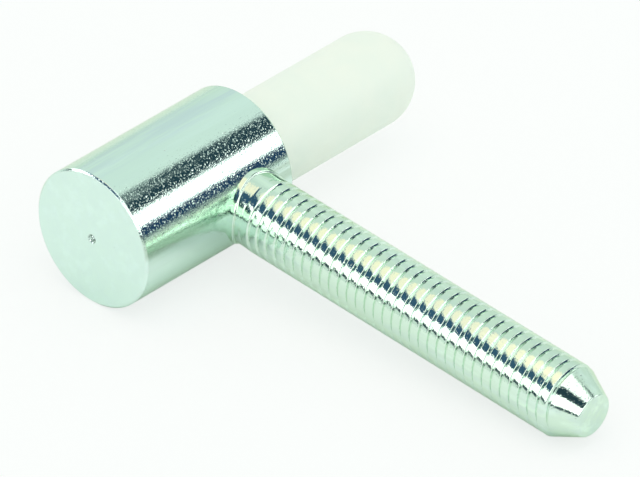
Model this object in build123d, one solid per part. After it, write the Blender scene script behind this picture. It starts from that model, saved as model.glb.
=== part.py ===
from build123d import *
from math import asin, atan2, ceil, cos, degrees, hypot, radians, sin, tan
import os

# Bottom half of a screw-in hinge, in millimetres, lying as a loose half comes to rest.
# The hinge axis is +Y and +Z is up. The origin is on the hinge axis, in the bearing face that the
# top half turns on. The stud points towards +X and leans down until its thread touches the
# surface that the barrel lies on.

# Barrel, a plated steel cylinder parted off from bar.
barrel_diameter = 15.0
barrel_length = 21.0
barrel_edge_break = 0.2
parting_mark_diameter = 1.0
parting_mark_depth = 0.16
parting_nib_diameter = 0.34

# Hinge pin, a ground steel pin pressed into the barrel.
pin_diameter = 6.0
pin_seat_depth = 12.0
pin_end_chamfer = 0.5
pin_bore_mouth = 0.3
drill_point_angle = 118.0

# Bearing sleeve, moulded in white plastic over the pin, with a domed end.
sleeve_diameter = 10.0
sleeve_projection = 23.5
sleeve_cap_thickness = 3.5
pin_end_clearance = 0.3

# Stud, set radially in the side of the barrel.
stud_axis_below_bearing_face = 5.25
stud_projection = 45.0
spigot_diameter = 6.4
spigot_depth = 3.0
spigot_end_chamfer = 0.3
collar_diameter = 8.4
collar_height = 0.5
collar_rounding = 0.2
neck_diameter = 7.7
neck_height = 0.3

# Rolled thread with flat crests. The crest height is where the middle of one crest stands above
# the hinge axis, on the side of the stud that faces the sleeve.
thread_diameter = 7.85
thread_pitch = 1.2
thread_crest_flat = 0.3
thread_crest_height = 7.88
thread_flank_angle = 30.0
thread_rise_length = 1.0
thread_run_out_length = 3.0

# Plain cone at the free end, turned on the blank before its thread was rolled.
blank_diameter = 7.2
tip_diameter = 4.6
tip_cone_length = 3.4
tip_edge_rounding = 0.2
thread_fade_length = 0.9

# Amount by which a shape that only trims or fills reaches past the shape that it works on.
trim = 1.0
fill = 0.1

barrel_radius = barrel_diameter / 2
pin_radius = pin_diameter / 2
sleeve_radius = sleeve_diameter / 2
neck_radius = neck_diameter / 2
crest_radius = thread_diameter / 2
blank_radius = blank_diameter / 2
tip_radius = tip_diameter / 2

# Heights along the stud, from the hinge axis.
stud_end = barrel_radius + stud_projection
cone_start = stud_end - tip_cone_length
socket_floor = barrel_radius - spigot_depth
neck_foot = barrel_radius + collar_height
thread_start = neck_foot + neck_height
run_out_end = thread_start + thread_run_out_length

thread_groove_width = thread_pitch - thread_crest_flat
thread_depth = thread_groove_width / 2 / tan(radians(thread_flank_angle))
root_radius = crest_radius - thread_depth

cone_slope = (crest_radius - tip_radius) / tip_cone_length
plain_cone_start = stud_end - (blank_radius - tip_radius) / cone_slope

# The lying half touches the surface with its barrel and with the last full crest of its thread.
# That crest is at cone_start along the stud and crest_radius from its axis.
crest_reach = hypot(cone_start, crest_radius)
rest_tilt = degrees(asin(barrel_radius / crest_reach) - atan2(crest_radius, cone_start))

hinge_axis = Plane(origin=(0, 0, 0), x_dir=(1, 0, 0), z_dir=(0, 1, 0))
stud_axis = Plane(
    origin=(0, -stud_axis_below_bearing_face, 0),
    x_dir=(0, 1, 0),
    z_dir=(cos(radians(rest_tilt)), 0, -sin(radians(rest_tilt))),
)


def turned(points):
    """A solid of revolution about +Z, from its half outline as (radius, height) points."""
    return revolve(Plane.XZ * make_face(Polyline(*points, close=True)), Axis.Z)


def rod(radius, bottom, top):
    """A plain round bar on the Z axis between two heights."""
    on_base = (Align.CENTER, Align.CENTER, Align.MIN)
    return Pos(0, 0, bottom) * Cylinder(radius, top - bottom, align=on_base)


def cross_bar(radius):
    """A round bar on the X axis, where the stud's own frame has the hinge axis."""
    return Rot(0, 90, 0) * Cylinder(radius, 2 * barrel_length)


def parting_mark():
    """The ring that the parting tool leaves round a small nib, cut in the closed end face."""
    outer = parting_mark_diameter / 2
    nib = parting_nib_diameter / 2
    middle = (outer + nib) / 2
    face = -barrel_length
    return turned([(nib, face), (middle, face + parting_mark_depth), (outer, face), (middle, face - trim)])


def pin_bore():
    """The blind drilled hole for the pin, with its drill point and broken mouth."""
    point_depth = pin_radius / tan(radians(drill_point_angle / 2))
    mouth = pin_radius + pin_bore_mouth
    return turned(
        [
            (0, -pin_seat_depth - point_depth),
            (pin_radius, -pin_seat_depth),
            (pin_radius, -pin_bore_mouth),
            (mouth, 0),
            (mouth, trim),
            (0, trim),
        ]
    )


def stud_socket():
    """The flat-bottomed radial hole that holds the stud's spigot, in the stud's own frame."""
    return rod(spigot_diameter / 2, socket_floor, barrel_radius + trim)


def barrel():
    body = rod(barrel_radius, -barrel_length, 0)
    body = chamfer(body.edges().filter_by(GeomType.CIRCLE), barrel_edge_break)
    body = hinge_axis * (body - parting_mark() - pin_bore())
    return body - stud_axis * stud_socket()


def hinge_pin():
    top = sleeve_projection - sleeve_cap_thickness - pin_end_clearance
    body = rod(pin_radius, -pin_seat_depth, top)
    return hinge_axis * chamfer(body.edges().filter_by(GeomType.CIRCLE), pin_end_chamfer)


def bearing_sleeve():
    """A straight tube with a closed, round end: the half outline is turned about the pin."""
    shoulder = sleeve_projection - sleeve_radius
    bore_end = sleeve_projection - sleeve_cap_thickness
    dome_middle = sleeve_radius * sin(radians(45))
    wall = Polyline(
        (0, sleeve_projection),
        (0, bore_end),
        (pin_radius, bore_end),
        (pin_radius, 0),
        (sleeve_radius, 0),
        (sleeve_radius, shoulder),
    )
    dome = ThreePointArc(
        (sleeve_radius, shoulder),
        (dome_middle, shoulder + dome_middle),
        (0, sleeve_projection),
    )
    return hinge_axis * revolve(Plane.XZ * make_face(wall + dome), Axis.Z)


def helix_turn(radius, bottom):
    """One turn of a right-hand helix on the stud's axis."""
    return Pos(0, 0, bottom) * Helix(pitch=thread_pitch, height=thread_pitch, radius=radius)


def ruled(first, second):
    """The surface of the straight lines between two curves."""
    return Face.make_surface_from_curves(edge1=first, edge2=second)


def helical_bar(bottom, turns):
    """A bar with a full thread to both its ends, closed there by a helical ramp and a step.

    Each turn is three ruled strips: the crest, the flank down to the root and the flank up again.
    """
    groove_bottom = thread_crest_flat + thread_groove_width / 2
    rows = []
    for turn in range(turns + 1):
        height = bottom + turn * thread_pitch
        crest_start = helix_turn(crest_radius, height)
        crest_end = helix_turn(crest_radius, height + thread_crest_flat)
        root = helix_turn(root_radius, height + groove_bottom)
        rows.append([crest_start, crest_end, root])

    faces = []
    for row, next_row in zip(rows, rows[1:]):
        curves = row + [next_row[0]]
        faces += [ruled(first, second) for first, second in zip(curves, curves[1:])]

    for row, height in ((rows[0], bottom), (rows[-1], bottom + turns * thread_pitch)):
        axis_foot = Vector(0, 0, height)
        axis_head = Vector(0, 0, height + thread_pitch)
        faces.append(ruled(Edge.make_line(axis_foot, axis_head), row[0]))
        step = Wire.make_polygon(
            [
                axis_foot,
                Vector(crest_radius, 0, height),
                Vector(crest_radius, 0, height + thread_crest_flat),
                Vector(root_radius, 0, height + groove_bottom),
                Vector(crest_radius, 0, height + thread_pitch),
                axis_head,
            ],
            close=True,
        )
        faces.append(Face(step))
    return Solid(Shell(faces))


def thread_envelope():
    """The turned shape that the thread keeps inside: it rises from the neck and ends in a cone."""
    below_neck = neck_radius - fill
    outer = crest_radius + trim
    rise_slope = (crest_radius - below_neck) / thread_rise_length
    return turned(
        [
            (0, neck_foot),
            (below_neck, neck_foot),
            (below_neck, thread_start),
            (outer, thread_start + (outer - below_neck) / rise_slope),
            (outer, cone_start - trim / cone_slope),
            (blank_radius, plain_cone_start),
            (0, plain_cone_start),
        ]
    )


def thread():
    """The helical bar, longer than needed by over a turn at both ends, kept inside its envelope."""
    turns_below = ceil((thread_crest_height - neck_foot) / thread_pitch) + 2
    bottom = thread_crest_height - thread_crest_flat / 2 - turns_below * thread_pitch
    turns = ceil((plain_cone_start - bottom) / thread_pitch) + 1
    return helical_bar(bottom, turns) & thread_envelope()


def plain_cone():
    """The free end, with the short cone inside the thread on which the last groove fades out."""
    inside_root = root_radius - fill
    body = turned(
        [
            (0, plain_cone_start - thread_fade_length),
            (inside_root, plain_cone_start - thread_fade_length),
            (blank_radius, plain_cone_start),
            (tip_radius, stud_end),
            (0, stud_end),
        ]
    )
    tip_edge = body.edges().filter_by(GeomType.CIRCLE).sort_by(Axis.Z)[-1]
    return fillet(tip_edge, tip_edge_rounding)


def neck():
    """The plain neck, with the cone over which the groove runs out of the full thread."""
    inside_root = root_radius - fill
    return turned(
        [
            (0, 0),
            (neck_radius, 0),
            (neck_radius, thread_start),
            (inside_root, run_out_end),
            (0, run_out_end),
        ]
    )


def collar():
    """The rounded collar upset against the barrel, of one height all round its curved seat."""
    blank = rod(collar_diameter / 2, 0, barrel_radius + trim)
    body = blank & cross_bar(barrel_radius + collar_height)
    top_edge = body.edges().sort_by(Axis.Z)[-1]
    return fillet(top_edge, collar_rounding)


def threaded_stud():
    """The whole stud: collar, neck and thread, shouldered on the barrel, with its spigot below."""
    above_barrel = neck() + collar() - cross_bar(barrel_radius)
    spigot = rod(spigot_diameter / 2, socket_floor, barrel_radius)
    spigot = chamfer(spigot.edges().group_by(Axis.Z)[0], spigot_end_chamfer)
    return stud_axis * (above_barrel + thread() + plain_cone() + spigot)


nodes = {
    "barrel": barrel(),
    "threaded_stud": threaded_stud(),
    "hinge_pin": hinge_pin(),
    "bearing_sleeve": bearing_sleeve(),
}

os.makedirs("parts", exist_ok=True)
for name, shape in nodes.items():
    export_step(shape, f"parts/{name}.step")
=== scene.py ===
from math import atan2, ceil, cos, floor, pi, radians, sin, sqrt, tan

import bmesh
import bpy
from mathutils import Matrix, Vector


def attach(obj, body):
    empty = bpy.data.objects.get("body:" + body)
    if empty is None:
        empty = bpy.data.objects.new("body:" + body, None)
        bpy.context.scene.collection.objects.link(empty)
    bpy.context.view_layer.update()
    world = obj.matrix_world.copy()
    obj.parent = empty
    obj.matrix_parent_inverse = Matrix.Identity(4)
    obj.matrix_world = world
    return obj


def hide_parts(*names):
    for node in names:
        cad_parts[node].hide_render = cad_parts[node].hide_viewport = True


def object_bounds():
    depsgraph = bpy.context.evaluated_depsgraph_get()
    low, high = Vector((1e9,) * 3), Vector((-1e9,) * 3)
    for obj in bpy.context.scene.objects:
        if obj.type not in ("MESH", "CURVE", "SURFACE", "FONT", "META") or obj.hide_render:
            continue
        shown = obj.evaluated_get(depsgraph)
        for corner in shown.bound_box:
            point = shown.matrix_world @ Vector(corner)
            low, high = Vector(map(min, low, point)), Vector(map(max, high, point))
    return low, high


bl_info = {
    "name": "Screw-in hinge bottom half",
    "version": (1, 0, 0),
    "blender": (4, 5, 0),
    "location": "3D View > Sidebar > Hinge Half",
    "description": "Plating, thread, bearing sleeve and studio for half of a screw-in hinge",
    "category": "Object",
}

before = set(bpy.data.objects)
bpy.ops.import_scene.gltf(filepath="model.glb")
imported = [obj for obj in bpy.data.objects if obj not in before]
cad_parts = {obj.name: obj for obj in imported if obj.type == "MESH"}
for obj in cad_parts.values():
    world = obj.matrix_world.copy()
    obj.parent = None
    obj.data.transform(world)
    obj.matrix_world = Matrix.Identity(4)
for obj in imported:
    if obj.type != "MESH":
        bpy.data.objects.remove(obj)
CAD_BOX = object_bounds()
MM = 0.001
# In the stud's mesh, points nearer to each other than the first length are joined, and faces
# narrower than the second are cleared away.
WELD_DISTANCE = 0.0002 * MM
SLIVER_WIDTH = 0.00001 * MM


def colour_property(name, description, default):
    """A colour, shown as a swatch."""
    return bpy.props.FloatVectorProperty(
        name=name, description=description, subtype="COLOR", size=3, min=0.0, max=1.0, default=default
    )


def length_property(name, description, default, precision=5, **limits):
    """A length in metres, shown to a hundredth of a millimetre unless said otherwise."""
    return bpy.props.FloatProperty(
        name=name, description=description, unit="LENGTH", precision=precision, default=default, **limits
    )


def share_property(name, description, default):
    """A share from 0 to 1, shown as a slider."""
    return bpy.props.FloatProperty(
        name=name, description=description, subtype="FACTOR", min=0.0, max=1.0, default=default
    )


def angle_property(name, description, degrees):
    """An angle, kept in radians and given in degrees."""
    return bpy.props.FloatProperty(
        name=name, description=description, subtype="ANGLE", default=radians(degrees)
    )


def number_property(name, description, default, least):
    """A plain number with a lower limit."""
    return bpy.props.FloatProperty(name=name, description=description, min=least, default=default)


def count_property(name, description, default, least):
    """A whole number with a lower limit."""
    return bpy.props.IntProperty(name=name, description=description, min=least, default=default)


class PlatingSettings(bpy.types.PropertyGroup):
    """Zinc plating with a pale green-blue passivation, on the barrel and the stud."""

    colour: colour_property("Plating colour", "Colour of the passivated zinc", (0.745, 0.928, 0.852))
    stud_colour: colour_property(
        "Stud colour",
        "Colour of the plating on the stud, where the film is a little thinner",
        (0.785, 0.968, 0.822),
    )
    cool_colour: colour_property(
        "Cool film colour", "Colour of the lilac streaks of the passivation film", (0.665, 0.80, 0.86)
    )
    warm_colour: colour_property(
        "Warm film colour", "Colour of the yellow-green streaks of the film", (0.47, 0.62, 0.50)
    )
    edge_colour: colour_property(
        "Grazing colour", "Tint of the plating where it is seen along its surface", (0.80, 0.86, 0.74)
    )
    # Darkens the pits, and is also the painted shade in the parting mark's hollow.
    dark_pit_and_mark_shade_colour: colour_property(
        "Dark pit and mark shade colour", "Colour of the darkened pits and of the painted shade in the parting mark", (0.16, 0.21, 0.20)
    )
    # Painted shade: the patch beside the stud stands in for the floor's shadow that the barrel mirrors
    # there.
    painted_floor_shade_colour: colour_property(
        "Painted floor shade colour", "Colour of the painted shade beside the stud, in place of the floor's mirrored shadow", (0.39, 0.57, 0.45)
    )
    worn_colour: colour_property(
        "Worn colour", "Colour of the bare zinc along worn edges and in scratches", (0.80, 0.84, 0.80)
    )
    roughness: share_property(
        "Plating roughness", "Roughness of the bright plating between its grains", 0.06
    )
    bare_roughness: share_property("Bare roughness", "Roughness that bare zinc adds", 0.25)
    mark_roughness: share_property("Mark roughness", "Roughness that the tool marks add", 0.05)
    grain_size: length_property(
        "Grain size", "Distance between the grains that glint in dark reflections", 0.17 * MM, 6
    )
    grain_height: length_property(
        "Grain height", "Height of the few grains that stand out, if their peaks were whole", 0.039 * MM, 7
    )
    haze_height: length_property(
        "Haze height", "Height of the finer texture that breaks up reflections' edges", 0.006 * MM, 7
    )
    stud_grain_share: share_property(
        "Stud grain share", "Height of the stud's grain, as a share of the barrel's", 0.5
    )
    streak_width: length_property(
        "Streak width", "Width of the film's streaks, which run along the bar", 1.3 * MM
    )
    stray_share: share_property(
        "Stray share", "Strength of the barrel's streaks off their own sides", 0.10
    )
    stud_stray_share: share_property(
        "Stud stray share", "Strength of the stud's streaks, which have no side of their own", 0.32
    )
    cool_angle: angle_property(
        "Cool angle", "Place of the barrel's lilac streaks, from +X towards +Z", 98
    )
    warm_angle: angle_property(
        "Warm angle", "Place of the barrel's yellow-green streaks, from +X towards +Z", 16
    )
    edge_width: length_property("Edge width", "Radius of the plating round the edges", 0.14 * MM)
    wear_size: length_property("Wear size", "Size of the patches of bare zinc along edges", 0.5 * MM)
    wear_share: share_property("Wear share", "Share of bare zinc on worn edges", 0.5)
    mark_spacing: length_property(
        "Tool mark spacing", "Distance between the marks that the turning tool leaves", 0.22 * MM
    )
    mark_depth: length_property("Tool mark depth", "Depth of the tool marks", 0.0012 * MM, 7)
    scratch_spacing: length_property(
        "Scratch spacing", "Distance between the small scratches and pits", 2.6 * MM
    )
    scratch_depth: length_property("Scratch depth", "Depth of the scratches", 0.008 * MM, 7)
    scratch_share: share_property("Scratch share", "Share of bare zinc in scratches", 0.6)
    pit_depth: length_property("Pit depth", "Depth of the pits", 0.016 * MM, 7)
    # How far the pits are darkened.
    pit_share: share_property("Pit share", "How far the pits are darkened", 0.55)
    # Painted shade: dark spots round the parting mark stand in for the shade in its hollow.
    mark_shade_radius: length_property(
        "Parting mark shade radius", "Radius of the painted shade round the parting mark", 0.62 * MM
    )
    # Place and shape of the painted shade beside the stud, which stands in for the floor's mirrored
    # shadow.
    painted_floor_shade_radius: length_property("Painted floor shade radius", "Half the width of the painted shade", 1.2 * MM)
    painted_floor_shade_stretch: number_property("Painted floor shade stretch", "Length of the painted shade over its width", 4.0, 1.0)
    painted_floor_shade_angle: angle_property(
        "Painted floor shade angle", "Place of the painted shade round the barrel, from +X towards +Z", 13
    )
    painted_floor_shade_offset: length_property(
        "Painted floor shade offset", "Distance from the stud's axis to the painted shade, towards the end face", 4.4 * MM
    )
    painted_floor_shade_cover: share_property("Painted floor shade cover", "How far the painted shade's spots run together", 0.10)


class SteelSettings(bpy.types.PropertyGroup):
    """Ground steel of the hinge pin."""

    colour: colour_property("Steel colour", "Colour of the ground steel", (0.62, 0.61, 0.59))
    dark_share: share_property(
        "Dark share", "Brightness of the darker grinding marks, as a share of the steel's", 0.82
    )
    roughness: share_property("Steel roughness", "Roughness of the ground steel", 0.24)
    mark_roughness: share_property("Mark roughness", "Roughness that the paler marks add", 0.12)
    mark_spacing: length_property(
        "Grinding mark spacing", "Distance between the grinding marks round the pin", 0.12 * MM
    )
    mark_depth: length_property("Grinding mark depth", "Depth of the marks", 0.002 * MM, 7)
    scratch_spacing: length_property("Scratch spacing", "Distance between scratches", 1.8 * MM)
    scratch_depth: length_property("Scratch depth", "Depth of the scratches", 0.004 * MM, 7)


class PlasticSettings(bpy.types.PropertyGroup):
    """White moulded plastic of the bearing sleeve."""

    colour: colour_property("Plastic colour", "Colour of the plastic", (0.882, 0.938, 0.832))
    shade_colour: colour_property(
        "Mottle colour", "Colour of the plastic's faint clouds", (0.855, 0.928, 0.826)
    )
    worn_share: share_property(
        "Worn share", "Brightness of the rubbed edges, as a share of the plastic's", 0.96
    )
    roughness: share_property("Plastic roughness", "Roughness of the moulded surface", 0.55)
    cloud_polish: share_property("Cloud polish", "Roughness that the clouds take away", 0.06)
    cloud_size: length_property("Cloud size", "Size of the faint clouds in the plastic", 5.0 * MM)
    texture_size: length_property(
        "Texture size", "Size of the fine texture that the mould leaves", 0.2 * MM
    )
    texture_height: length_property("Texture height", "Height of that texture", 0.01 * MM, 7)
    haze_height: length_property("Haze height", "Height of the texture's finer part", 0.003 * MM, 7)
    edge_width: length_property("Edge width", "Radius of the rounded edges", 0.15 * MM)
    wear_size: length_property("Wear size", "Size of the rubbed patches along edges", 0.8 * MM)
    scratch_spacing: length_property("Scratch spacing", "Distance between scratches", 3.2 * MM)
    scratch_depth: length_property("Scratch depth", "Depth of the scratches", 0.003 * MM, 7)
    refraction: number_property("Refraction", "Index of refraction of the plastic", 1.48, 1.0)
    scatter_share: share_property("Scatter share", "Share of light scattered in the plastic", 0.12)
    scatter_depth: length_property("Scatter depth", "How far the light scatters", 1.2 * MM)


class StudSettings(bpy.types.PropertyGroup):
    """Sizes of the threaded stud. Heights run along its own axis, from the hinge axis."""

    barrel_radius: length_property(
        "Barrel radius", "Radius of the barrel that the stud stands on", 7.5 * MM
    )
    axis_offset: length_property(
        "Stud axis", "Place of the stud's axis along the hinge axis", -5.25 * MM
    )
    lean: angle_property("Lean", "Angle by which the stud points down", 4.1879)
    seat_depth: length_property(
        "Seat depth", "Depth below the barrel's side at which the stud's mesh ends", 0.1 * MM
    )
    collar_radius: length_property(
        "Collar radius", "Radius of the collar against the barrel", 4.06 * MM
    )
    collar_height: length_property("Collar height", "Height of the collar above the barrel", 0.5 * MM)
    collar_rounding: length_property("Collar rounding", "Radius of the collar's outer edge", 0.12 * MM)
    neck_radius: length_property("Neck radius", "Radius of the plain neck", 3.85 * MM)
    neck_height: length_property(
        "Neck height", "Height of the plain neck above the collar's highest point", 0.12 * MM
    )
    crest_radius: length_property("Crest radius", "Radius over the thread's crests", 3.925 * MM)
    pitch: length_property("Pitch", "Distance from one crest to the next", 1.20 * MM)
    crest_place: length_property(
        "Crest place", "Height of one crest's middle on the side that faces the sleeve", 7.53 * MM
    )
    crest_flat: length_property(
        "Crest flat", "Width of the flat on the crest, before its edges are rounded", 0.78 * MM
    )
    crest_rounding: length_property("Crest rounding", "Radius of the crest's edges", 0.10 * MM)
    root_rounding: length_property("Root rounding", "Radius of the groove's floor", 0.05 * MM)
    flank_angle: angle_property(
        "Flank angle", "Angle between a flank and a plane square to the axis", 33.5
    )
    ripple_full: length_property(
        "Full ripple", "Height at which the die's first faint marks are fully there", 8.5 * MM
    )
    ripple_share: share_property(
        "Ripple share", "Depth of the first faint marks, as a share of the groove's depth", 0.05
    )
    groove_start: length_property(
        "Groove start", "Height at which the groove begins to deepen", 8.5 * MM
    )
    groove_full: length_property(
        "Full groove", "Height at which the groove reaches its full depth", 9.9 * MM
    )
    cone_start: length_property(
        "Cone start", "Height at which the free end's cone meets the crests", 49.1 * MM
    )
    blank_radius: length_property("Blank radius", "Radius at which the plain cone starts", 3.40 * MM)
    fade_length: length_property(
        "Fade length", "Length over which the last groove fades out on the cone", 0.25 * MM
    )
    end: length_property("End", "Height of the free end", 52.42 * MM)
    tip_radius: length_property(
        "Tip radius", "Radius of the end face, before its edge is rounded", 2.3 * MM
    )
    tip_rounding: length_property("Tip rounding", "Radius of the end face's edge", 0.2 * MM)
    strip_width: length_property(
        "Strip width", "Width of the narrow strip that keeps a corner's shading to itself", 0.04 * MM
    )
    sides: count_property("Sides", "Number of columns of the mesh round the stud's axis", 96, 24)
    arc_steps: count_property(
        "Arc steps", "Number of steps in each rounding of the thread's section", 5, 2
    )
    edge_steps: count_property(
        "Edge steps", "Number of steps in the rounded edges of the collar and the tip", 8, 2
    )


class StudioSettings(bpy.types.PropertyGroup):
    """Floor, light and camera."""

    floor_size: length_property("Floor size", "Side of the square floor", 4.0, 2, min=0.5)
    floor_colour: colour_property("Floor colour", "Colour of the floor", (0.975, 0.992, 0.982))
    floor_glow: share_property(
        "Floor glow", "Share of the floor's own brightness in what the camera sees of it", 0.75
    )
    mirror_glow: share_property(
        "Mirrored glow", "Share of the floor's own brightness in what the metal mirrors of it", 0.10
    )
    wall_colour: colour_property("Wall colour", "Colour of the light tent's walls", (0.85, 0.91, 0.905))
    mirrored_wall_colour: colour_property(
        "Mirrored wall colour",
        "Colour of the light tent's walls as the metal mirrors them",
        (0.787, 0.887, 0.835),
    )
    flag_colour: colour_property("Flag colour", "Colour of the dark cards", (0.022, 0.053, 0.073))
    blue_flag_colour: colour_property(
        "Blue flag colour", "Colour of the high dark card behind the object", (0.041, 0.104, 0.19)
    )
    navy_flag_colour: colour_property(
        "Navy flag colour", "Colour of the low dark card near the camera", (0.022, 0.056, 0.12)
    )
    warm_panel_colour: colour_property(
        "Warm panel colour", "Colour of the overhead panel behind the object", (0.82, 0.70, 0.56)
    )
    side_panel_colour: colour_property(
        "Side panel colour", "Colour of the lit band round the sides", (1.0, 1.0, 0.98)
    )
    panel_strength: number_property("Top panel strength", "Strength of the overhead panels", 1.6, 0.0)
    side_strength: number_property(
        "Side panel strength", "Strength of the lit band round the sides", 2.4, 0.0
    )
    card_distance: length_property(
        "Card distance", "Distance of the nearest kind of card, the high flags", 0.80, 2
    )
    card_gap: length_property(
        "Card gap", "Distance from each kind of card to the next, so that none cuts another", 0.02, 2
    )
    edge_card_distance: length_property(
        "Edge card distance", "Distance of the small flag at the high flags' end", 0.15, 2
    )
    camera_azimuth: angle_property(
        "Camera azimuth", "Direction of the camera round the object, where 0 looks along +Y", 42.708
    )
    camera_elevation: angle_property(
        "Camera elevation", "Height of the camera above the horizon", 34.018
    )
    camera_roll: angle_property("Camera roll", "Turn of the camera about its line of sight", 0.715)
    camera_distance: length_property(
        "Camera distance", "Distance from the camera to the point that it aims at", 1.1640
    )
    camera_aim: bpy.props.FloatVectorProperty(
        name="Camera aim",
        description="Point that the camera looks at",
        subtype="TRANSLATION",
        unit="LENGTH",
        size=3,
        precision=6,
        default=(0.015842, -0.005099, -0.000222),
    )
    lens: bpy.props.FloatProperty(
        name="Lens",
        description="Focal length of the camera in millimetres",
        unit="CAMERA",
        min=1.0,
        default=665.37,
    )


def add_node(tree, kind, **values):
    """A node of that kind, with its own properties and its inputs' values set by name."""
    node = tree.nodes.new(kind)
    for name, value in values.items():
        if hasattr(node, name):
            setattr(node, name, value)
        else:
            feed(tree, node.inputs[name.replace("_", " ")], value)
    return node


def feed(tree, socket, value):
    """Set an input, or join it to another node's output."""
    if isinstance(value, bpy.types.NodeSocket):
        tree.links.new(value, socket)
    else:
        socket.default_value = value


def calc(tree, operation, *values):
    """The result of a maths node. Each value is a number or another node's output."""
    node = add_node(tree, "ShaderNodeMath", operation=operation)
    for socket, value in zip(node.inputs, values):
        feed(tree, socket, value)
    return node.outputs[0]


def lowered(tree, value, mask, amount):
    """The value, lower by the amount where the mask is 1."""
    return calc(tree, "SUBTRACT", value, calc(tree, "MULTIPLY", mask, amount))


def vector_calc(tree, operation, *values):
    """The result of a vector maths node. The dot product and the length come out as numbers."""
    node = add_node(tree, "ShaderNodeVectorMath", operation=operation)
    for socket, value in zip(node.inputs, values):
        feed(tree, socket, value)
    return node.outputs["Value" if operation in ("DOT_PRODUCT", "LENGTH") else "Vector"]


def ramp(tree, value, start, end):
    """A smooth rise from 0 to 1 while the value goes from start to end, upwards or downwards."""
    node = add_node(tree, "ShaderNodeMapRange", interpolation_type="SMOOTHSTEP", Value=value)
    node.inputs["From Min"].default_value = start
    node.inputs["From Max"].default_value = end
    return node.outputs["Result"]


def blend(tree, share, first, second):
    """A colour between two colours."""
    node = add_node(tree, "ShaderNodeMix", data_type="RGBA")
    # The colour sockets of this node share their names with its other kinds, so they go by number.
    for place, value in ((0, share), (6, first), (7, second)):
        feed(tree, node.inputs[place], value)
    return node.outputs[2]


def noise(tree, vector, scale, detail, roughness=0.5):
    """Soft noise between 0 and 1."""
    node = add_node(
        tree, "ShaderNodeTexNoise", Vector=vector, Scale=scale, Detail=detail, Roughness=roughness
    )
    return node.outputs[0]


def node_group(name, inputs, outputs):
    """An empty shader node group and the sockets of its two ends. Sockets are {name: kind} pairs."""
    group = bpy.data.node_groups.new(name, "ShaderNodeTree")
    for direction, sockets in (("INPUT", inputs), ("OUTPUT", outputs)):
        for socket, kind in sockets.items():
            group.interface.new_socket(socket, in_out=direction, socket_type="NodeSocket" + kind)
    given = group.nodes.new("NodeGroupInput").outputs
    out = group.nodes.new("NodeGroupOutput").inputs
    return group, given, out


def use_group(tree, group, **values):
    """Place a node group, with its inputs set by name, and give its outputs."""
    node = add_node(tree, "ShaderNodeGroup", node_tree=group)
    for name, value in values.items():
        feed(tree, node.inputs[name.replace("_", " ")], value)
    return node.outputs


def shared_group(name):
    """Make the decorated function's node group once, under that name, and give it at every call."""

    def decorate(make):
        return lambda: bpy.data.node_groups.get(name) or make(name)

    return decorate


@shared_group("Surface grain")
def grain_group(name):
    """Few steep grains over a fine haze."""
    inputs = {"Vector": "Vector", "Grain size": "Float", "Grain height": "Float", "Haze height": "Float"}
    group, given, out = node_group(name, inputs, {"Height": "Float"})
    scale = calc(group, "DIVIDE", 1.0, given["Grain size"])
    # Only the tops of this noise stand out, so the grains are few and steep.
    tops = calc(group, "SUBTRACT", noise(group, given["Vector"], scale, 0.0), 0.60)
    grains = calc(group, "MULTIPLY", calc(group, "MAXIMUM", tops, 0.0), given["Grain height"])
    haze = noise(group, given["Vector"], calc(group, "MULTIPLY", scale, 1.7), 1.0)
    feed(group, out["Height"], calc(group, "MULTIPLY_ADD", haze, given["Haze height"], grains))
    return group


@shared_group("Passivation film")
def film_group(name):
    """The plating's colour, with cool and warm streaks on one side each."""
    inputs = {
        "Vector": "Vector",
        "Colour": "Color",
        "Cool colour": "Color",
        "Warm colour": "Color",
        "Cool side": "Vector",
        "Warm side": "Vector",
        "Streak width": "Float",
        "Side radius": "Float",
        "Stray share": "Float",
    }
    group, given, out = node_group(name, inputs, {"Colour": "Color"})
    flat = vector_calc(group, "MULTIPLY", given["Vector"], (1.0, 0.0, 1.0))
    outward = vector_calc(group, "NORMALIZE", flat)
    # The end faces lie inside the side's radius and have no streaks of one side.
    depth = calc(group, "DIVIDE", vector_calc(group, "LENGTH", flat), given["Side radius"])
    on_side = ramp(group, depth, 0.96, 0.99)
    size = calc(group, "DIVIDE", 1.0, given["Streak width"])
    # The streaks run along the vector's Y axis and are about twelve times as long as wide.
    stretched = vector_calc(group, "MULTIPLY", given["Vector"], (1.0, 0.085, 1.0))
    cool_noise = noise(group, stretched, size, 3.0, 0.6)
    # The warm streaks have a place and a size of their own, so that they don't follow the cool ones.
    shifted = vector_calc(group, "ADD", stretched, (0.031, 0.017, 0.023))
    warm_noise = noise(group, shifted, calc(group, "MULTIPLY", size, 0.8), 3.0, 0.6)

    def streaks(texture, side, far_cosine, faint, full):
        """Streaks that fade with the angle from their side, and are full where the noise is."""
        near = ramp(group, vector_calc(group, "DOT_PRODUCT", outward, side), far_cosine, 0.996)
        near = calc(group, "MULTIPLY", near, on_side)
        strength = calc(group, "MULTIPLY_ADD", near, 0.72, given["Stray share"])
        return calc(group, "MULTIPLY", strength, ramp(group, texture, faint, full))

    cool = streaks(cool_noise, given["Cool side"], 0.955, 0.38, 0.66)
    warm = streaks(warm_noise, given["Warm side"], 0.978, 0.28, 0.52)
    colour = blend(group, cool, given["Colour"], given["Cool colour"])
    colour = blend(group, warm, colour, given["Warm colour"])
    feed(group, out["Colour"], colour)
    return group


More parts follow.
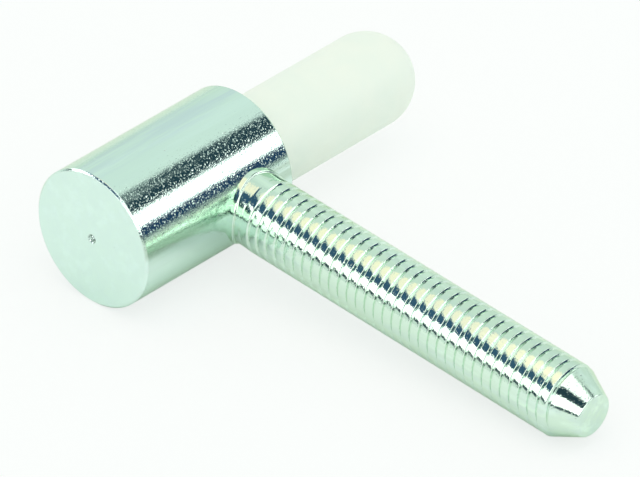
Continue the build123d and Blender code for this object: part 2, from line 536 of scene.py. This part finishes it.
@shared_group("Tool marks")
def tool_mark_group(name):
    """Rings round the vector's Y axis, by their radius on a face and by their height on the side."""
    outputs = {"Face height": "Float", "Side height": "Float"}
    group, given, out = node_group(name, {"Vector": "Vector", "Spacing": "Float"}, outputs)
    scale = calc(group, "DIVIDE", 1.0, given["Spacing"])
    flat = vector_calc(group, "MULTIPLY", given["Vector"], (1.0, 0.0, 1.0))
    apart = add_node(group, "ShaderNodeSeparateXYZ", Vector=given["Vector"])
    places = {"Face height": vector_calc(group, "LENGTH", flat), "Side height": apart.outputs["Y"]}
    for socket, place in places.items():
        line = add_node(group, "ShaderNodeCombineXYZ", X=place)
        feed(group, out[socket], noise(group, line.outputs[0], scale, 2.0, 0.6))
    return group


# Painted shade: these spots darken the barrel beside the stud and round the parting mark.
@shared_group("Residue round a point")
def painted_shade_group(name):
    """Spots of painted shade inside a radius, after the offset from the centre is scaled by the shape."""
    inputs = {
        "Vector": "Vector",
        "Centre": "Vector",
        "Shape": "Vector",
        "Radius": "Float",
        "Cover": "Float",
    }
    group, given, out = node_group(name, inputs, {"Painted shade": "Float"})
    offset = vector_calc(group, "SUBTRACT", given["Vector"], given["Centre"])
    offset = vector_calc(group, "MULTIPLY", offset, given["Shape"])
    distance = calc(group, "DIVIDE", vector_calc(group, "LENGTH", offset), given["Radius"])
    near = ramp(group, distance, 1.0, 0.55)
    # The spots are about a third of the radius wide, and run together as the cover grows.
    spots = noise(group, offset, calc(group, "DIVIDE", 3.0, given["Radius"]), 2.0, 0.6)
    spots = ramp(group, calc(group, "ADD", spots, given["Cover"]), 0.42, 0.56)
    feed(group, out["Painted shade"], calc(group, "MULTIPLY", near, spots))
    return group


@shared_group("Scratches and pits")
def scratch_group(name):
    """Masks of a few short scratches and a few round pits."""
    outputs = {"Scratches": "Float", "Pits": "Float"}
    group, given, out = node_group(name, {"Vector": "Vector", "Spacing": "Float"}, outputs)
    scale = calc(group, "DIVIDE", 1.0, given["Spacing"])
    # Stretched cells make the scratches, each much longer than wide and a little aslant.
    bent = add_node(
        group,
        "ShaderNodeMapping",
        Vector=given["Vector"],
        Rotation=(0.35, 0.2, 0.3),
        Scale=(5.0, 0.7, 5.0),
    )
    # Only a few of the cells hold a mark: the random colour of each cell picks them.
    for socket, vector, size, chosen in (
        ("Scratches", bent.outputs[0], 0.085, 0.80),
        ("Pits", given["Vector"], 0.045, 0.55),
    ):
        cell = add_node(group, "ShaderNodeTexVoronoi", Vector=vector, Scale=scale)
        apart = add_node(group, "ShaderNodeSeparateXYZ", Vector=cell.outputs["Color"])
        picked = calc(group, "GREATER_THAN", apart.outputs["X"], chosen)
        near = ramp(group, cell.outputs["Distance"], size, size * 0.4)
        feed(group, out[socket], calc(group, "MULTIPLY", picked, near))
    return group


@shared_group("Edge wear")
def wear_group(name):
    """Worn patches where the rounded normal leaves the true one, which is along edges."""
    inputs = {
        "Vector": "Vector",
        "Normal": "Vector",
        "Rounded normal": "Vector",
        "Patch size": "Float",
    }
    group, given, out = node_group(name, inputs, {"Wear": "Float"})
    facing = vector_calc(group, "DOT_PRODUCT", given["Normal"], given["Rounded normal"])
    edge = ramp(group, facing, 0.995, 0.93)
    patch = noise(group, given["Vector"], calc(group, "DIVIDE", 1.0, given["Patch size"]), 3.0)
    feed(group, out["Wear"], calc(group, "MULTIPLY", edge, ramp(group, patch, 0.40, 0.58)))
    return group


def opaque(colour):
    """A colour with the alpha that sockets want."""
    return (*colour, 1.0)


def dimmed(colour, share):
    """A colour at a share of its brightness."""
    return tuple(part * share for part in colour)


def new_material(name):
    """A material with an empty node tree, and that tree."""
    material = bpy.data.materials.new(name)
    material.use_nodes = True
    tree = material.node_tree
    tree.nodes.clear()
    return material, tree


def finish_material(tree, shader, output_kind="ShaderNodeOutputMaterial"):
    """Join the shader to the output of its material, or of its world."""
    tree.links.new(shader.outputs[0], add_node(tree, output_kind).inputs["Surface"])


def mix_shaders(tree, share, first, second):
    """A shader between two shaders."""
    mix = add_node(tree, "ShaderNodeMixShader", Fac=share)
    tree.links.new(first.outputs[0], mix.inputs[1])
    tree.links.new(second.outputs[0], mix.inputs[2])
    return mix


def finish_surface(tree, height, normal, **values):
    """Finish the material with the principled shader, its surface raised by the height."""
    bump = add_node(tree, "ShaderNodeBump", Strength=1.0, Distance=1.0, Height=height)
    if normal:
        tree.links.new(normal, bump.inputs["Normal"])
    shader = add_node(tree, "ShaderNodeBsdfPrincipled", Normal=bump.outputs[0], **values)
    finish_material(tree, shader)


def worn_edges(tree, vector, settings):
    """The normal as if the edges were rounded, and a mask of the worn patches along them."""
    normal = add_node(tree, "ShaderNodeNewGeometry").outputs["Normal"]
    rounded = add_node(tree, "ShaderNodeBevel", samples=6, Radius=settings.edge_width).outputs[0]
    wear = use_group(
        tree,
        wear_group(),
        Vector=vector,
        Normal=normal,
        Rounded_normal=rounded,
        Patch_size=settings.wear_size,
    )
    return rounded, wear["Wear"]


def emitter(name, colour, strength):
    """A material that only gives light."""
    material, tree = new_material(name)
    shader = add_node(tree, "ShaderNodeEmission", Color=opaque(colour), Strength=strength)
    finish_material(tree, shader)
    return material


def plated_material(
    name,
    settings,
    colour,
    side_radius,
    stray_share,
    cool_side=(0, 0, 0),
    warm_side=(0, 0, 0),
    turn=(0, 0, 0),
    shift=(0, 0, 0),
    grain_share=1.0,
    parting_mark_shade=None,
    painted_floor_shade=None,
    round_edges=True,
):
    """Passivated zinc.

    The turn and the shift bring the bar's axis on to the pattern's Y axis. The painted shade in the
    parting mark and the painted shade beside the stud, in place of the floor's mirrored shadow, are
    the painted shade group's values, on the piece that has them.
    """
    material, tree = new_material(name)
    position = add_node(tree, "ShaderNodeTexCoord").outputs["Object"]
    mapping = add_node(tree, "ShaderNodeMapping", Vector=position, Rotation=turn, Location=shift)
    placed = mapping.outputs[0]
    rounded, wear = worn_edges(tree, placed, settings)
    grain = use_group(
        tree,
        grain_group(),
        Vector=placed,
        Grain_size=settings.grain_size,
        Grain_height=settings.grain_height * grain_share,
        Haze_height=settings.haze_height * grain_share,
    )
    marks = use_group(tree, tool_mark_group(), Vector=placed, Spacing=settings.mark_spacing)
    scratches = use_group(tree, scratch_group(), Vector=placed, Spacing=settings.scratch_spacing)
    film = use_group(
        tree,
        film_group(),
        Vector=placed,
        Colour=opaque(colour),
        Cool_colour=opaque(settings.cool_colour),
        Warm_colour=opaque(settings.warm_colour),
        Cool_side=cool_side,
        Warm_side=warm_side,
        Streak_width=settings.streak_width,
        Side_radius=side_radius,
        Stray_share=stray_share,
    )

    worn = calc(tree, "MULTIPLY", wear, settings.wear_share)
    scratched = calc(tree, "MULTIPLY", scratches["Scratches"], settings.scratch_share)
    bare = calc(tree, "MAXIMUM", worn, scratched)
    base = blend(tree, bare, film["Colour"], opaque(settings.worn_colour))
    # Painted shade beside the stud, in place of the floor's mirrored shadow.
    if painted_floor_shade:
        shade_spots = use_group(tree, painted_shade_group(), Vector=placed, **painted_floor_shade)
        base = blend(tree, shade_spots["Painted shade"], base, opaque(settings.painted_floor_shade_colour))
    # Darker pits, and painted shade round the parting mark in place of the shade in its hollow.
    dark_pits_and_painted_shade = calc(tree, "MULTIPLY", scratches["Pits"], settings.pit_share)
    if parting_mark_shade:
        shade_spots = use_group(tree, painted_shade_group(), Vector=placed, **parting_mark_shade)
        dark_pits_and_painted_shade = calc(tree, "MAXIMUM", dark_pits_and_painted_shade, shade_spots["Painted shade"])
    base = blend(tree, dark_pits_and_painted_shade, base, opaque(settings.dark_pit_and_mark_shade_colour))

    height = calc(tree, "MULTIPLY_ADD", marks["Face height"], settings.mark_depth, grain["Height"])
    height = lowered(tree, height, scratches["Scratches"], settings.scratch_depth)
    height = lowered(tree, height, scratches["Pits"], settings.pit_depth)
    rough = calc(tree, "MULTIPLY_ADD", bare, settings.bare_roughness, settings.roughness)
    rough = calc(tree, "MULTIPLY_ADD", marks["Side height"], settings.mark_roughness, rough)
    finish_surface(
        tree,
        height,
        rounded if round_edges else None,
        Base_Color=base,
        Metallic=1.0,
        Roughness=rough,
        Specular_Tint=opaque(settings.edge_colour),
    )
    return material


def steel_material(name, settings):
    """Ground steel, with its grinding marks round the pin's axis."""
    material, tree = new_material(name)
    position = add_node(tree, "ShaderNodeTexCoord").outputs["Object"]
    marks = use_group(tree, tool_mark_group(), Vector=position, Spacing=settings.mark_spacing)
    scratches = use_group(tree, scratch_group(), Vector=position, Spacing=settings.scratch_spacing)
    tone = ramp(tree, marks["Side height"], 0.2, 0.8)
    dark = dimmed(settings.colour, settings.dark_share)
    base = blend(tree, tone, opaque(dark), opaque(settings.colour))
    both = calc(tree, "ADD", marks["Side height"], marks["Face height"])
    height = calc(tree, "MULTIPLY", both, settings.mark_depth)
    height = lowered(tree, height, scratches["Scratches"], settings.scratch_depth)
    rough = calc(tree, "MULTIPLY_ADD", tone, settings.mark_roughness, settings.roughness)
    finish_surface(tree, height, None, Base_Color=base, Metallic=1.0, Roughness=rough)
    return material


def plastic_material(name, settings):
    """White plastic with faint clouds and the fine texture of its mould."""
    material, tree = new_material(name)
    position = add_node(tree, "ShaderNodeTexCoord").outputs["Object"]
    rounded, wear = worn_edges(tree, position, settings)
    texture = use_group(
        tree,
        grain_group(),
        Vector=position,
        Grain_size=settings.texture_size,
        Grain_height=settings.texture_height,
        Haze_height=settings.haze_height,
    )
    scratches = use_group(tree, scratch_group(), Vector=position, Spacing=settings.scratch_spacing)
    cloud = ramp(tree, noise(tree, position, 1 / settings.cloud_size, 3.0), 0.35, 0.65)
    base = blend(tree, cloud, opaque(settings.colour), opaque(settings.shade_colour))
    base = blend(tree, wear, base, opaque(dimmed(settings.colour, settings.worn_share)))
    height = lowered(tree, texture["Height"], scratches["Scratches"], settings.scratch_depth)
    finish_surface(
        tree,
        height,
        rounded,
        Base_Color=base,
        Roughness=lowered(tree, settings.roughness, cloud, settings.cloud_polish),
        IOR=settings.refraction,
        Subsurface_Weight=settings.scatter_share,
        Subsurface_Radius=(1.0, 1.0, 0.9),
        Subsurface_Scale=settings.scatter_depth,
    )
    return material


def dress(node_name, material):
    """Put one material on a node of the frame."""
    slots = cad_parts[node_name].data.materials
    slots.clear()
    slots.append(material)


def new_object(name, data):
    """An object in the scene."""
    item = bpy.data.objects.new(name, data)
    bpy.context.scene.collection.objects.link(item)
    return item


def round_hinge_axis(angle, radius=1.0, place=0.0):
    """A point at that angle round the hinge axis, from +X towards +Z, and that place along it."""
    return (radius * cos(angle), place, radius * sin(angle))


class HINGE_HALF_OT_barrel(bpy.types.Operator):
    """Give the barrel its plating"""

    bl_idname = "hinge_half.barrel"
    bl_label = "Barrel"

    def execute(self, context):
        plating, stud = context.scene.hinge_plating, context.scene.hinge_stud
        painted_floor_shade_place = stud.axis_offset - plating.painted_floor_shade_offset
        material = plated_material(
            "barrel_plating",
            plating,
            plating.colour,
            stud.barrel_radius,
            plating.stray_share,
            cool_side=round_hinge_axis(plating.cool_angle),
            warm_side=round_hinge_axis(plating.warm_angle),
            # Painted shade in the hollow of the parting mark.
            parting_mark_shade={
                "Centre": (0, CAD_BOX[0].y, 0),
                "Shape": (1, 0, 1),
                "Radius": plating.mark_shade_radius,
                "Cover": 0.0,
            },
            # Painted shade beside the stud, where the barrel mirrors the shaded floor.
            painted_floor_shade={
                "Centre": round_hinge_axis(plating.painted_floor_shade_angle, stud.barrel_radius, painted_floor_shade_place),
                "Shape": (1, 1 / plating.painted_floor_shade_stretch, 1),
                "Radius": plating.painted_floor_shade_radius,
                "Cover": plating.painted_floor_shade_cover,
            },
        )
        dress("barrel", material)
        return {"FINISHED"}


def thread_section(settings):
    """One pitch of the thread's section: (distance from the crest's middle, depth) points.

    The crest's edges and the root are arcs that touch the straight flanks.
    """
    slope = pi / 2 - settings.flank_angle
    half_flat = settings.crest_flat / 2
    half_pitch = settings.pitch / 2
    depth = (half_pitch - half_flat) * tan(slope)
    # An arc can't reach past the middle of the crest.
    crest_tangent = min(settings.crest_rounding * tan(slope / 2), half_flat)
    crest = crest_tangent / tan(slope / 2)
    start = half_flat - crest_tangent
    root = settings.root_rounding
    root_depth = depth - root * (1 / cos(slope) - 1)
    turns = [slope * step / settings.arc_steps for step in range(settings.arc_steps + 1)]
    points = [(start + crest * sin(turn), crest * (1 - cos(turn))) for turn in turns]
    for turn in reversed(turns):
        points.append((half_pitch - root * sin(turn), root_depth - root * (1 - cos(turn))))
    if start > WELD_DISTANCE:
        points.insert(0, (0.0, 0.0))
    mirrored = [(settings.pitch - along, down) for along, down in reversed(points[:-1])]
    return points + mirrored[:-1]


def smooth_step(start, end, value):
    """A smooth rise from 0 to 1 while the value goes from start to end, upwards or downwards."""
    share = min(max((value - start) / (end - start), 0), 1)
    return share * share * (3 - 2 * share)


class StudForm:
    """The mesh of the stud outside the barrel, built row by row round the stud's axis."""

    def __init__(self, settings):
        self.settings = settings
        self.form = bmesh.new()
        self.origin = Vector((0, settings.axis_offset, 0))
        self.along = Vector((cos(settings.lean), 0, -sin(settings.lean)))
        self.across = Vector((0, 1, 0))
        self.up = self.along.cross(self.across)
        # How far the cone's radius falls for each unit along it.
        cone_length = settings.end - settings.cone_start
        self.slope = (settings.crest_radius - settings.tip_radius) / cone_length
        # The thread's rows lie between these two heights.
        self.thread_foot = settings.barrel_radius + settings.collar_height + settings.neck_height
        plain_length = (settings.blank_radius - settings.tip_radius) / self.slope
        self.thread_top = settings.end - plain_length

    def surface_radius(self, height, down):
        """Distance of the surface from the axis, at a height and a depth in the full thread."""
        given = self.settings
        swell = smooth_step(self.thread_foot, given.groove_full, height)
        outer = given.neck_radius + (given.crest_radius - given.neck_radius) * swell
        cone = given.blank_radius + (self.thread_top - height) * self.slope
        ripple = smooth_step(self.thread_foot, given.ripple_full, height)
        deep = smooth_step(given.groove_start, given.groove_full, height)
        reach = given.ripple_share * ripple + (1 - given.ripple_share) * deep
        fade = smooth_step(self.thread_top, self.thread_top - given.fade_length, height)
        return min(outer, cone) - down * reach * fade

    def row(self, place_at):
        """Points once round the axis. place_at gives the radius and height at a share of the turn."""
        points = []
        for side in range(self.settings.sides):
            share = side / self.settings.sides
            radius, height = place_at(share)
            angle = 2 * pi * share
            outward = self.across * (radius * cos(angle)) + self.up * (radius * sin(angle))
            points.append(self.form.verts.new(self.origin + outward + self.along * height))
        return points

    def ring(self, radius, height):
        """A flat ring."""
        return self.row(lambda share: (radius, height))

    def ring_on_barrel(self, radius, lift):
        """A ring of one radius, everywhere at one distance above the barrel's round side."""
        reach = self.settings.barrel_radius + lift
        return self.row(lambda share: (radius, sqrt(reach**2 - (radius * sin(2 * pi * share)) ** 2)))

    def join(self, lower, upper):
        """A band of faces between two rings."""
        for side in range(len(lower)):
            after = (side + 1) % len(lower)
            self.form.faces.new((lower[side], lower[after], upper[after], upper[side]))

    def helical_row(self, start, down):
        """A row that climbs one pitch in its turn, at one depth in the full thread."""

        def place_at(share):
            height = start + share * self.settings.pitch
            height = min(max(height, self.thread_foot), self.thread_top)
            return self.surface_radius(height, down), height

        return self.row(place_at)

    def add_thread(self):
        """Rows that follow the helix, so that every crest is one unbroken line."""
        given = self.settings
        section = thread_section(given)
        first = floor((self.thread_foot - given.crest_place) / given.pitch) - 1
        last = ceil((self.thread_top - given.crest_place) / given.pitch) + 1
        rows = []
        for turn in range(first, last):
            crest = given.crest_place + turn * given.pitch
            rows += [self.helical_row(crest + along, down) for along, down in section]
        for row, after in zip(rows, rows[1:]):
            for side in range(given.sides - 1):
                self.form.faces.new((row[side], row[side + 1], after[side + 1], after[side]))
        # The last column meets the first column one pitch further on.
        further = rows[len(section):]
        for row, after, there, beyond in zip(rows, rows[1:], further, further[1:]):
            self.form.faces.new((row[-1], there[0], beyond[0], after[-1]))

    def add_collar(self):
        """The hidden end, closed inside the barrel, the collar, and the neck up to the thread."""
        given = self.settings
        strip, rounding = given.strip_width, given.collar_rounding
        hidden = self.ring_on_barrel(given.collar_radius, -given.seat_depth - strip)
        self.form.faces.new(hidden[::-1])
        previous = self.ring_on_barrel(given.collar_radius, -given.seat_depth)
        self.join(hidden, previous)
        for step in range(given.edge_steps + 1):
            turn = pi / 2 * step / given.edge_steps
            ring = self.ring_on_barrel(
                given.collar_radius - rounding + rounding * cos(turn),
                given.collar_height - rounding + rounding * sin(turn),
            )
            self.join(previous, ring)
            previous = ring
        foot = self.ring_on_barrel(given.neck_radius, given.collar_height)
        self.join(previous, foot)
        above_foot = self.ring_on_barrel(given.neck_radius, given.collar_height + strip)
        self.join(foot, above_foot)
        top_radius = self.surface_radius(self.thread_foot, 0)
        self.join(above_foot, self.ring(top_radius, self.thread_foot))

    def add_tip(self):
        """The plain cone, its rounded edge and the end face."""
        given = self.settings
        strip, rounding = given.strip_width, given.tip_rounding
        lean_in = atan2(self.slope, 1)
        turn_total = pi / 2 - lean_in
        centre_radius = given.tip_radius - rounding * tan(turn_total / 2)
        centre_height = given.end - rounding
        foot = self.ring(given.blank_radius, self.thread_top)
        previous = self.ring(given.blank_radius - strip * self.slope, self.thread_top + strip)
        self.join(foot, previous)
        for step in range(given.edge_steps + 1):
            turn = lean_in + turn_total * step / given.edge_steps
            ring = self.ring(
                centre_radius + rounding * cos(turn), centre_height + rounding * sin(turn)
            )
            self.join(previous, ring)
            previous = ring
        self.form.faces.new(previous)

    def finished_mesh(self, name):
        """Weld what touches, clear what has no area, and hand the mesh over."""
        bmesh.ops.remove_doubles(self.form, verts=self.form.verts, dist=WELD_DISTANCE)
        bmesh.ops.dissolve_degenerate(self.form, edges=self.form.edges, dist=SLIVER_WIDTH)
        bmesh.ops.recalc_face_normals(self.form, faces=self.form.faces)
        for face in self.form.faces:
            face.smooth = True
        mesh = bpy.data.meshes.new(name)
        self.form.to_mesh(mesh)
        self.form.free()
        return mesh


class HINGE_HALF_OT_stud(bpy.types.Operator):
    """Make the stud with its rolled thread, in place of the plain one"""

    bl_idname = "hinge_half.stud"
    bl_label = "Threaded stud"

    def execute(self, context):
        settings, plating = context.scene.hinge_stud, context.scene.hinge_plating
        form = StudForm(settings)
        form.add_thread()
        form.add_collar()
        form.add_tip()
        mesh = form.finished_mesh("threaded_stud_full")
        material = plated_material(
            "stud_plating",
            plating,
            plating.stud_colour,
            settings.neck_radius,
            plating.stud_stray_share,
            turn=(0, -settings.lean, pi / 2),
            shift=(settings.axis_offset, 0, 0),
            grain_share=plating.stud_grain_share,
            round_edges=False,
        )
        mesh.materials.append(material)
        stud = new_object("stud_with_thread", mesh)
        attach(stud, "root")
        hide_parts("threaded_stud")
        return {"FINISHED"}


class HINGE_HALF_OT_sleeve(bpy.types.Operator):
    """Give the bearing sleeve its plastic"""

    bl_idname = "hinge_half.sleeve"
    bl_label = "Bearing sleeve"

    def execute(self, context):
        dress("bearing_sleeve", plastic_material("sleeve_plastic", context.scene.hinge_plastic))
        return {"FINISHED"}


class HINGE_HALF_OT_pin(bpy.types.Operator):
    """Give the hinge pin its ground steel"""

    bl_idname = "hinge_half.pin"
    bl_label = "Hinge pin"

    def execute(self, context):
        dress("hinge_pin", steel_material("pin_steel", context.scene.hinge_steel))
        return {"FINISHED"}


def card(name, material, distance, edge_points, lights=False):
    """A curved card round the object, from (azimuth, low, high) edge points in degrees.

    The azimuth runs from +Y towards +X. The camera never sees the card. It lights plain surfaces
    only where lights is true, and is seen in the metal either way.
    """
    column_width = 3
    rows = 6
    columns = []
    for start, end in zip(edge_points, edge_points[1:]):
        count = max(1, int(abs(end[0] - start[0]) / column_width))
        for step in range(count):
            share = step / count
            columns.append([a + (b - a) * share for a, b in zip(start, end)])
    columns.append(edge_points[-1])

    points = []
    for azimuth, low, high in columns:
        turn = radians(azimuth)
        for row in range(rows + 1):
            rise = radians(low + (high - low) * row / rows)
            direction = Vector((sin(turn) * cos(rise), cos(turn) * cos(rise), sin(rise)))
            points.append(direction * distance)
    faces = []
    for column in range(len(columns) - 1):
        for row in range(rows):
            corner = column * (rows + 1) + row
            across = corner + rows + 1
            faces.append((corner, corner + 1, across + 1, across))

    mesh = bpy.data.meshes.new(name)
    mesh.from_pydata(points, [], faces)
    mesh.materials.append(material)
    item = new_object(name, mesh)
    item.visible_camera = False
    item.visible_diffuse = lights
    item.visible_shadow = False


class HINGE_HALF_OT_stage(bpy.types.Operator):
    """Make the floor, the light tent and the camera"""

    bl_idname = "hinge_half.stage"
    bl_label = "Stage"

    def execute(self, context):
        settings = context.scene.hinge_studio
        self.make_floor(settings)
        self.make_world(settings)
        self.make_flags(settings)
        self.make_panels(settings)
        self.make_camera(settings)
        context.scene.view_settings.view_transform = "Standard"
        return {"FINISHED"}

    def make_floor(self, settings):
        """White paper that glows a little, so that it is pale and still takes the shadow."""
        half = settings.floor_size / 2
        height = CAD_BOX[0].z
        corners = [(-half, -half), (half, -half), (half, half), (-half, half)]
        mesh = bpy.data.meshes.new("floor")
        mesh.from_pydata([(x, y, height) for x, y in corners], [], [(0, 1, 2, 3)])
        material, tree = new_material("floor_paper")
        colour = opaque(settings.floor_colour)
        diffuse = add_node(tree, "ShaderNodeBsdfDiffuse", Color=colour)
        glow = add_node(tree, "ShaderNodeEmission", Color=colour, Strength=1.0)
        path = add_node(tree, "ShaderNodeLightPath").outputs
        mirrored = calc(tree, "MAXIMUM", path["Is Glossy Ray"], path["Is Transmission Ray"])
        share = calc(tree, "MULTIPLY", path["Is Camera Ray"], settings.floor_glow)
        share = calc(tree, "MULTIPLY_ADD", mirrored, settings.mirror_glow, share)
        finish_material(tree, mix_shaders(tree, share, diffuse, glow))
        mesh.materials.append(material)
        new_object("floor", mesh)

    def make_world(self, settings):
        """The light tent's walls, which the camera sees as white."""
        world = bpy.data.worlds.new("light_tent")
        world.use_nodes = True
        tree = world.node_tree
        tree.nodes.clear()
        path = add_node(tree, "ShaderNodeLightPath").outputs
        plain, mirrored = opaque(settings.wall_colour), opaque(settings.mirrored_wall_colour)
        colour = blend(tree, path["Is Glossy Ray"], plain, mirrored)
        wall = add_node(tree, "ShaderNodeBackground", Color=colour, Strength=1.0)
        white = add_node(tree, "ShaderNodeBackground", Color=(1, 1, 1, 1), Strength=1.0)
        seen = mix_shaders(tree, path["Is Camera Ray"], wall, white)
        finish_material(tree, seen, "ShaderNodeOutputWorld")
        bpy.context.scene.world = world

    def make_flags(self, settings):
        """Dark cards, which the metal mirrors as bands above and below the lit one."""
        dark = emitter("flag_cloth", settings.flag_colour, 1.0)
        blue = emitter("flag_cloth_blue", settings.blue_flag_colour, 1.0)
        navy = emitter("flag_cloth_navy", settings.navy_flag_colour, 1.0)
        high = settings.card_distance
        low = high + 2 * settings.card_gap
        # The small flag stands so near that the stud's tip mirrors it away from the others.
        card("flag_high_edge", dark, settings.edge_card_distance, [(17.5, 46, 61), (34.5, 38, 58)])
        near_edges = [(29, 35, 50), (60, 35, 56), (130, 36, 58), (165, 37, 58)]
        card("flag_high_near", dark, high, near_edges)
        far_edges = [(165, 37, 58), (195, 36, 57), (216, 35.5, 56), (236, 36, 55), (290, 38, 52)]
        card("flag_high_far", blue, high, far_edges)
        card("flag_low_near", navy, low, [(24, 4, 18.5), (51, 4, 20), (90, 2, 14.5)])
        far_edges = [(90, 2, 14), (158, 1, 9), (195, 6, 14), (212, 9, 16.5), (290, 8, 16)]
        card("flag_low_far", dark, low, far_edges)

    def make_panels(self, settings):
        """Lit cards: a band round the sides that only the metal mirrors, and two overhead."""
        lit = emitter("panel_light", (1, 1, 1), settings.panel_strength)
        warm = emitter("panel_warm_light", settings.warm_panel_colour, settings.panel_strength)
        side = emitter("panel_side_light", settings.side_panel_colour, settings.side_strength)
        middle = settings.card_distance + settings.card_gap
        top = settings.card_distance + 3 * settings.card_gap
        near_edges = [(24, 18, 35), (51, 19.5, 35), (90, 14, 35), (158, 9, 36)]
        far_edges = [(195, 14, 36), (212, 16.5, 35.5), (290, 16, 36)]
        card("panel_side", side, middle, near_edges + far_edges)
        top_edges = [(28, 56, 89), (90, 57, 89), (130, 58, 89), (180, 57, 89), (200, 57, 89)]
        card("panel_top", lit, top, top_edges, lights=True)
        card("panel_top_far", warm, top, [(200, 57, 89), (250, 58, 89), (298, 62, 89)], lights=True)

    def make_camera(self, settings):
        """The photo's camera: a long lens a good metre away."""
        azimuth, elevation = settings.camera_azimuth, settings.camera_elevation
        level = cos(elevation)
        back = Vector((sin(azimuth) * level, -cos(azimuth) * level, sin(elevation)))
        data = bpy.data.cameras.new("camera")
        data.lens = settings.lens
        data.sensor_width = 36.0
        data.clip_start = 0.01
        data.clip_end = 10.0
        item = new_object("camera", data)
        turn = (-back).to_track_quat("-Z", "Y").to_matrix().to_4x4()
        roll = Matrix.Rotation(settings.camera_roll, 4, "Z")
        place = Vector(settings.camera_aim) + back * settings.camera_distance
        item.matrix_world = Matrix.Translation(place) @ turn @ roll
        bpy.context.scene.camera = item


class HINGE_HALF_PT_panel(bpy.types.Panel):
    """A button for each piece and one for the stage"""

    bl_idname = "HINGE_HALF_PT_panel"
    bl_label = "Hinge half"
    bl_space_type = "VIEW_3D"
    bl_region_type = "UI"
    bl_category = "Hinge Half"

    def draw(self, context):
        for operator in OPERATORS:
            self.layout.operator(operator.bl_idname)


OPERATORS = (
    HINGE_HALF_OT_barrel,
    HINGE_HALF_OT_stud,
    HINGE_HALF_OT_sleeve,
    HINGE_HALF_OT_pin,
    HINGE_HALF_OT_stage,
)
SETTINGS = {
    "hinge_plating": PlatingSettings,
    "hinge_steel": SteelSettings,
    "hinge_plastic": PlasticSettings,
    "hinge_stud": StudSettings,
    "hinge_studio": StudioSettings,
}


def register():
    for item in (*SETTINGS.values(), *OPERATORS, HINGE_HALF_PT_panel):
        bpy.utils.register_class(item)
    for name, group in SETTINGS.items():
        setattr(bpy.types.Scene, name, bpy.props.PointerProperty(type=group))


def unregister():
    for name in SETTINGS:
        delattr(bpy.types.Scene, name)
    for item in reversed((*SETTINGS.values(), *OPERATORS, HINGE_HALF_PT_panel)):
        bpy.utils.unregister_class(item)


def main():
    register()
    bpy.ops.hinge_half.barrel()
    bpy.ops.hinge_half.stud()
    bpy.ops.hinge_half.sleeve()
    bpy.ops.hinge_half.pin()
    bpy.ops.hinge_half.stage()


if __name__ == "__main__":
    main()
